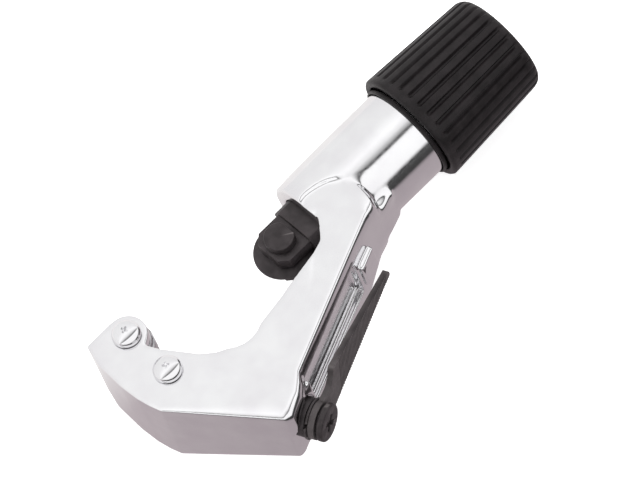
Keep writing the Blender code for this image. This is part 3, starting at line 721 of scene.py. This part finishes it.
def knob_stations():
    """Rings as (place, radius, rib depth), from the cup's mouth over the outside into the end's recess."""
    end = KNOB_RIM_X + KNOB_LENGTH
    web_low, web_high = KNOB_WEB_X
    rim = [(KNOB_RIM_X + 0.9, KNOB_BORE_RADIUS, 0), (KNOB_RIM_X + 0.25, KNOB_BORE_RADIUS + 0.1, 0),
           (KNOB_RIM_X, KNOB_BORE_RADIUS + 0.45, 0), (KNOB_RIM_X, KNOB_RIM_RADIUS - 1.1, 0),
           (KNOB_RIM_X + 0.25, KNOB_RIM_RADIUS - 0.45, 0), (KNOB_RIM_X + 0.8, KNOB_RIM_RADIUS - 0.08, 0),
           (KNOB_RIM_X + 1.4, knob_side(KNOB_RIM_X + 1.4), 0),
           (KNOB_RIM_X + 2.5, knob_side(KNOB_RIM_X + 2.5), 0)]
    run_in = [(KNOB_RIM_X + 2.5 + 1.2 * t, knob_side(KNOB_RIM_X + 2.5 + 1.2 * t),
               RIB_DEPTH * math.sin(math.pi / 2 * t)) for t in (0.25, 0.5, 0.75, 1.0)]
    ribs = [(x, knob_side(x), RIB_DEPTH) for x in (60.0, 66.0, 72.0, 78.0, end - 3.4)]
    crown = [(end - 3.2 + 3.2 * math.sin(a), knob_side(end - 3.2) - 2.6 * (1 - math.cos(a)),
              RIB_DEPTH * max(0.0, 1 - a * 1.1)) for a in [math.pi / 2 * i / 7 for i in range(8)]]
    recess = [(end, KNOB_RECESS_RADIUS + 0.2, 0), (end - 0.15, KNOB_RECESS_RADIUS, 0),
              (web_high, KNOB_RECESS_RADIUS, 0), (web_high, KNOB_WEB_HOLE_RADIUS, 0),
              (web_low, KNOB_WEB_HOLE_RADIUS, 0), (web_low, KNOB_BORE_RADIUS - 1.8, 0),
              (web_low - 1.5, KNOB_BORE_RADIUS - 1.0, 0)]
    return rim + run_in + ribs + crown + recess


def build_knob():
    """The ribbed cup and the plug in its end."""
    shell = loft([knob_ring(*station) for station in knob_stations()])
    add_piece("knob_grip", shell, PLASTIC, "knob", ("knob_shell",), smooth=40)
    end = KNOB_RIM_X + KNOB_LENGTH
    floor = end - 1.6
    cap = [(0.0, end - 0.35), (6.8, end - 0.35), (7.2, end)] + lip(9.0, end, floor, 0.35) + [(0.0, floor)]
    add_piece("knob_end_cap", turned(cap), PLASTIC, "knob", ("knob_cap",), FEED)


def build_shade_ring():
    """A thin black ring on the barrel, just under the knob: a dark piece set where the barrel lies in the
    shade of the knob's cup, as painted shade.
    """
    low, high = SHADE_RING_X
    inner = BARREL_RADIUS + GAP
    ring = [(inner, high)] + lip(15.0, high, low, 0.12) + [(inner, low)]
    add_piece("barrel_shade_ring", turned(ring, 128), PLASTIC, "frame",
              ("barrel_collar",), FEED)


def build_carrier():
    """The slide: a bar with two flats, stepped and forked at its end for the wheel."""
    shape = Shape(rod(CARRIER_RADIUS, EAR_END_X - 1, CARRIER_TOP_X, 128), FEED)
    for side in (1, -1):
        low, high = sorted((side * CARRIER_FLAT, side * 20.0))
        shape.cut(box((EAR_END_X - 5, -20, low), (CARRIER_TOP_X + 5, 20, high)))
        low, high = sorted((side * EAR_FACE, side * 20.0))
        shape.cut(box((EAR_END_X - 5, -20, low), (EAR_STEP_X, 20, high)))
    ears = [(CARRIER_TOP_X + 5, 12.0), (EAR_STEP_X, 12.0), (EAR_STEP_X, 6.4), (-2.5, 6.4), (EAR_END_X, 4.0),
            (EAR_END_X, -4.0), (-2.5, -6.4), (EAR_STEP_X, -6.4), (EAR_STEP_X, -12.0),
            (CARRIER_TOP_X + 5, -12.0)]
    shape.combine(extruded(ears, -12, 12), operation="INTERSECT")
    shape.cut(box((EAR_END_X - 5, -20, -FORK_GAP / 2), (WHEEL_RADIUS + 0.5, 20, FORK_GAP / 2)))
    shape.cut(rod(SPINDLE_HOLE_RADIUS, SPINDLE_HOLE_X, CARRIER_TOP_X + 1, 48), FEED)
    shape.cut(rod(AXLE_RADIUS + GAP, -12, 12, 32))
    shape.bevel(0.28, 3, 40)
    add_piece("carrier_slide", shape.mesh(), OXIDE, "carrier", ("wheel_carrier",))


def build_wheel():
    """The cutting wheel: a hub, a thin web and a sharp edge."""
    hub = WHEEL_HUB_WIDTH / 2
    face = [(AXLE_RADIUS + GAP, hub)] + rounded_edge(4.4, hub, 0.25)
    face += [(4.8, hub - 0.55), (5.2, 1.0), (6.3, 0.92), (8.7, 0.16), (WHEEL_RADIUS, 0.02)]
    add_piece("wheel_blade", turned(mirrored(face), 144), OXIDE, "wheel", ("cutting_wheel",))


def build_wheel_pin():
    """The wheel's axle: a head with one flat, and a groove for the clip behind."""
    seat = EAR_FACE + GAP
    top = seat + PIN_HEAD_HEIGHT
    head = [(0.0, top)] + rounded_edge(PIN_HEAD_RADIUS, top, 0.3)
    head += [(PIN_HEAD_RADIUS, seat), (AXLE_RADIUS, seat)]
    tail = [(AXLE_RADIUS, -EAR_FACE - 0.2), (1.5, -EAR_FACE - 0.2), (1.5, -EAR_FACE - 1.1),
            (AXLE_RADIUS, -EAR_FACE - 1.1), (AXLE_RADIUS - 0.3, -EAR_FACE - 1.6), (0.0, -EAR_FACE - 1.6)]
    pin = Shape(turned(head + tail, 96))
    pin.cut(box((3.4, -6, seat - 0.1), (8, 6, seat + 4)))
    pin.bevel(0.15, 2, 50)
    add_piece("wheel_axle_pin", pin.mesh(), OXIDE, "carrier", ("wheel_pin",))


# ---------------------------------------------------------------- rollers and screws

def build_rollers():
    """Two guide rollers with a stepped edge and a shallow groove for the cutting wheel."""
    half = HALF - CHEEK - 0.4
    shoulder = ROLLER_RADIUS - 0.5
    face = [(AXLE_RADIUS + GAP, half - 0.1), (3.0, half)] + rounded_edge(shoulder, half, 0.3)
    face += [(shoulder, half - 1.6), (ROLLER_RADIUS - 0.3, half - 1.9), (ROLLER_RADIUS, half - 2.1),
             (ROLLER_RADIUS, 1.5), (ROLLER_RADIUS - 0.15, 1.25), (ROLLER_RADIUS - 1.1, 0.3)]
    for number, side, body in ((1, 1, "roller_a"), (2, -1, "roller_b")):
        axis = Matrix.Translation((ROLLER_X, side * ROLLER_OFFSET_Y, 0))
        add_piece(f"guide_roller_{number}", turned(mirrored(face)), ROLLER, body,
                  (f"roller_{number}",), axis)


def cut_cross(shape, radius, depth, top, turn):
    """A tapered cross recess with a pointed centre, turned by an angle in degrees."""
    width = radius * 0.30
    turned_by = Matrix.Rotation(math.radians(turn), 4, "Z")
    for reach_x, reach_y in ((radius, width), (width, radius)):
        shape.cut(box((-reach_x, -reach_y, top - depth * 0.6), (reach_x, reach_y, top + 2)), turned_by)
    bm = bmesh.new()
    bmesh.ops.create_cone(bm, cap_ends=True, segments=4, radius1=0.05, radius2=radius * 0.75, depth=depth)
    bmesh.ops.translate(bm, vec=(0, 0, top - depth / 2), verts=bm.verts)
    shape.cut(close_mesh(bm), turned_by)


def screw_dome(seat, steps=18):
    """Profile points of a roller screw's domed head, from its crown to its edge."""
    turns = [math.pi / 2 * step / steps for step in range(1, steps + 1)]
    rise = SCREW_HEAD_HEIGHT - 0.25
    side = [(SCREW_HEAD_RADIUS * math.sin(a), seat + 0.25 + rise * math.cos(a)) for a in turns]
    return [(0.0, seat + SCREW_HEAD_HEIGHT)] + side


def build_roller_screws():
    """The rollers' axles: dome-head screws through the jaw, with a nut behind each."""
    seat = HALF + GAP
    tail = -HALF - GAP - NUT_HEIGHT
    shank = [(SCREW_HEAD_RADIUS - 0.1, seat), (AXLE_RADIUS, seat), (AXLE_RADIUS, tail + 0.4),
             (AXLE_RADIUS - 0.4, tail), (0.0, tail)]
    for number, side, turn in ((1, 1, 15), (2, -1, 55)):
        axis = Matrix.Translation((ROLLER_X, side * ROLLER_OFFSET_Y, 0))
        screw = Shape(turned(screw_dome(seat) + shank))
        cut_cross(screw, 1.05, 1.2, seat + SCREW_HEAD_HEIGHT, turn)
        screw.bevel(0.08, 2, 50)
        add_piece(f"roller_axle_screw_{number}", screw.mesh(), CHROME, "frame",
                  (f"roller_screw_{number}",), axis)
        nut = Shape(rod(NUT_WIDTH / math.sqrt(3), tail, -HALF - GAP, 6))
        nut.cut(rod(AXLE_RADIUS + GAP, tail - 1, -HALF + 1, 32))
        nut.bevel(0.35, 3, 50)
        add_piece(f"roller_axle_nut_{number}", nut.mesh(), CHROME, "frame",
                  (f"roller_nut_{number}",), axis)


# ---------------------------------------------------------------- reamer

def blade_outline():
    """The blade from above: a round eye, a straight back, and a shoulder that tapers to a narrow point."""
    eye = arc((0, 0), EYE_RADIUS, 45, 285, 48)
    back, front = REAMER_TIP_Y
    point = arc((REAMER_LENGTH - 0.6, back + 0.6), 0.6, 280, 350, 4)
    point += arc((REAMER_LENGTH - 0.6, front - 0.6), 0.6, 10, 80, 4)
    shoulder = smooth_path([(REAMER_SHOULDER_X, REAMER_SHOULDER_Y - 0.3), (12.2, REAMER_SHOULDER_Y - 0.2),
                            (11.0, 6.2), (9.0, 4.2), (6.6, 3.8), (4.6, 4.0)], 5)
    return eye + point + shoulder


def blade_front(x):
    """Where the blade's front edge lies at a distance from the pivot, along its taper."""
    share = (x - REAMER_SHOULDER_X) / (REAMER_LENGTH - REAMER_SHOULDER_X)
    return REAMER_SHOULDER_Y - 0.3 + (REAMER_TIP_Y[1] - REAMER_SHOULDER_Y + 0.3) * share


def build_blade(low, high):
    """The blade, with slanting file teeth cut across its outer face."""
    blade = Shape(extruded(blade_outline(), low, high))
    blade.cut(rod(PIVOT_RADIUS + GAP, -2, 8, 48))
    half = GROOVE_HALF_WIDTH
    profile = [(-half, 0.4), (-half, 0.03), (0.0, -half), (half, 0.03), (half, 0.4)]
    lay = Matrix.Rotation(GROOVE_SLANT, 4, "Z") @ Matrix.Rotation(math.pi / 2, 4, "X")
    for number in range(GROOVES):
        x = GROOVE_START_X + GROOVE_PITCH * number
        reach = blade_front(x) + 0.4
        blade.cut(extruded(profile, 0.0, reach + 8.0), Matrix.Translation((x, reach, high)) @ lay)
    return blade.mesh()


def build_split_washer(low, high):
    """A spring washer: a ring with a split, whose far end rises a little above its near one."""
    turns = [math.radians(8 + 344 * i / 60) for i in range(61)]
    inner, outer = PIVOT_RADIUS + GAP, 6.0
    bm = bmesh.new()
    rows = []
    for turn in turns:
        rise = 0.22 * (turn / (2 * math.pi)) ** 3
        corners = ((inner, low + rise), (outer, low + rise), (outer, high + rise), (inner, high + rise))
        rows.append([bm.verts.new((r * math.cos(turn), r * math.sin(turn), z)) for r, z in corners])
    for row, following in zip(rows, rows[1:]):
        for i in range(4):
            j = (i + 1) % 4
            bm.faces.new((row[i], row[j], following[j], following[i]))
    bm.faces.new(rows[0])
    bm.faces.new(rows[-1])
    washer = Shape(close_mesh(bm))
    washer.bevel(0.1, 2, 50)
    return washer.mesh()


def pivot_ring(radius, heights, size):
    """A turned ring on the reamer's pivot, with rounded outer edges."""
    low, high = heights
    inner = PIVOT_RADIUS + GAP
    return turned([(inner, high)] + lip(radius, high, low, size) + [(inner, low)])


def build_pivot_screw():
    """The reamer's pan-head screw."""
    under, top = PIVOT_HEAD_HEIGHTS
    head = [(0.0, top)] + rounded_edge(EYE_RADIUS, top, 0.6, 5) + [(EYE_RADIUS, under)]
    shank = [(PIVOT_RADIUS, under), (PIVOT_RADIUS, PIVOT_SCREW_END + 0.6),
             (PIVOT_RADIUS - 0.6, PIVOT_SCREW_END), (0.0, PIVOT_SCREW_END)]
    screw = Shape(turned(head + shank))
    cut_cross(screw, 2.6, 1.5, top, 40)
    screw.bevel(0.1, 2, 50)
    return screw.mesh()


def build_reamer():
    """The blade on its pivot, between the boss and spring below and the washer and screw above."""
    pivot = on_arm_back(PIVOT)
    boss = pivot_ring(5.6, BOSS_HEIGHTS, 0.3)
    add_piece("reamer_seat_boss", boss, OXIDE, "frame", ("reamer_boss",), pivot)
    spring = build_split_washer(*SPRING_HEIGHTS)
    add_piece("reamer_spring", spring, OXIDE, "frame", ("reamer_spring_washer",),
              pivot @ Matrix.Rotation(math.radians(140.0), 4, "Z"))
    blade = build_blade(*BLADE_HEIGHTS)
    add_piece("reamer_cutter", blade, OXIDE, "reamer", ("reamer_blade",),
              pivot @ Matrix.Rotation(REAMER_REST_ANGLE, 4, "Z"))
    washer = pivot_ring(4.8, WASHER_HEIGHTS, 0.12)
    add_piece("reamer_flat_washer", washer, OXIDE, "frame", ("reamer_washer",), pivot)
    screw = build_pivot_screw()
    add_piece("reamer_pivot_screw", screw, OXIDE, "frame", ("reamer_screw",), pivot)


def finish_cad_nodes():
    """Inner parts keep their CAD shape and take a machined finish."""
    finishes = {"thrust_washer": BRONZE, "thrust_bush": BRONZE}
    for name in ("guide_key", "pin_clip", "knob_hub", "knob_washer", "knob_screw", "feed_screw"):
        finishes[name] = STEEL
    for name, material in finishes.items():
        mesh = frame["nodes"][name].data
        mesh.materials.clear()
        mesh.materials.append(material)


# ---------------------------------------------------------------- camera and studio

# The line of sight and the aim are in the tool frame, the aim in mm and the distance in metres
VIEW_FROM = Vector((-0.1952, -0.4545, 0.8691))
CAMERA_DISTANCE = 2.62
CAMERA_AIM = Vector((7.0, -4.8, 0.0))
FEED_AXIS_RISE = math.radians(44.35)
LENS = 546.5

# Tones of the tent round the feed axis, in degrees from straight up towards the arm's back
TENT_STRENGTH = 1.25
TENT = ((-100, 0.74), (-25, 0.79), (2, 0.97), (14, 0.80), (24, 0.40), (28, 0.07), (32, 0.03), (34.5, 0.95),
        (80, 0.90), (85, 0.40), (87, 0.02), (120, 0.02))


def add_camera():
    """Looks along the photograph's line of sight, rolled so that the feed axis rises to the right."""
    back = VIEW_FROM.normalized()
    feed = (Vector((1, 0, 0)) - back * back.x).normalized()
    beside = back.cross(feed)
    right = feed * math.cos(FEED_AXIS_RISE) - beside * math.sin(FEED_AXIS_RISE)
    up = back.cross(right)
    matrix = Matrix.Identity(4)
    position = CAMERA_AIM * MM + back * CAMERA_DISTANCE
    for column, vector in enumerate((right, up, back, position)):
        matrix.col[column] = (*vector, 1.0 if column == 3 else 0.0)
    data = bpy.data.cameras.new("photo_camera")
    data.lens = LENS
    data.clip_end = 20.0
    camera = bpy.data.objects.new("photo_camera", data)
    bpy.context.scene.collection.objects.link(camera)
    camera.matrix_world = TOOL @ matrix
    bpy.context.scene.camera = camera


def add_area_light(name, direction, distance, size, power):
    """A softbox that faces the tool from a direction in the tool frame, and isn't seen in reflections."""
    data = bpy.data.lights.new(name, "AREA")
    data.shape = "SQUARE"
    data.size = size
    data.energy = power
    light = bpy.data.objects.new(name, data)
    bpy.context.scene.collection.objects.link(light)
    light.visible_glossy = False
    towards = (TOOL.to_3x3() @ Vector(direction)).normalized()
    facing = towards.to_track_quat("Z", "Y").to_matrix().to_4x4()
    light.matrix_world = Matrix.Translation(towards * distance) @ facing


def add_floor(name, material, height, camera, glossy):
    """A floor that the camera sees, or one that only reflections see."""
    bpy.ops.mesh.primitive_plane_add(size=6.0, location=(0, 0, height))
    floor = bpy.context.object
    floor.name = name
    floor.data.materials.append(material)
    floor.visible_camera = camera
    floor.visible_glossy = glossy


def add_world():
    """A white tent over the tool, with a narrow slit above it and a dark skirt behind the arm."""
    world = bpy.data.worlds.new("studio")
    bpy.context.scene.world = world
    world.use_nodes = True
    tree = world.node_tree
    background = tree.nodes["Background"]
    place = tree.nodes.new("ShaderNodeTexCoord")
    split = tree.nodes.new("ShaderNodeSeparateXYZ")
    turn = tree.nodes.new("ShaderNodeMath")
    turn.operation = "ARCTAN2"
    share = tree.nodes.new("ShaderNodeMath")
    share.operation = "MULTIPLY_ADD"
    share.inputs[1].default_value = -0.5 / math.pi
    share.inputs[2].default_value = 0.5
    ramp = tree.nodes.new("ShaderNodeValToRGB")
    elements = ramp.color_ramp.elements
    while len(elements) < len(TENT):
        elements.new(0.5)
    for element, (degrees, tone) in zip(elements, TENT):
        element.position = 0.5 + degrees / 360
        element.color = (tone, tone, tone, 1)
    tree.links.new(place.outputs["Generated"], split.inputs["Vector"])
    tree.links.new(split.outputs["Y"], turn.inputs[0])
    tree.links.new(split.outputs["Z"], turn.inputs[1])
    tree.links.new(turn.outputs["Value"], share.inputs[0])
    tree.links.new(share.outputs["Value"], ramp.inputs["Fac"])
    tree.links.new(ramp.outputs["Color"], background.inputs["Color"])
    background.inputs["Strength"].default_value = TENT_STRENGTH


def build_studio():
    """A white floor, a tent of tones for the plating to mirror, and two soft lights."""
    bpy.context.scene.view_settings.view_transform = "Standard"
    add_floor("floor", floor_material(), 0.0, True, False)
    # The sheet under the floor glows and only reflections see it: a painted reflection with painted shade
    # near the tool
    add_floor("painted_reflection_sheet", painted_reflection_floor_material(), -0.0002, False, True)
    add_area_light("key", (0.2, 0.45, 1.0), 0.9, 0.9, 6.0)
    add_area_light("fill", (-0.6, -0.8, 0.9), 1.1, 0.6, 2.0)
    add_world()


add_camera()
build_casting()
build_knob()
build_shade_ring()
build_carrier()
build_wheel()
build_wheel_pin()
build_rollers()
build_roller_screws()
build_reamer()
finish_cad_nodes()
build_studio()
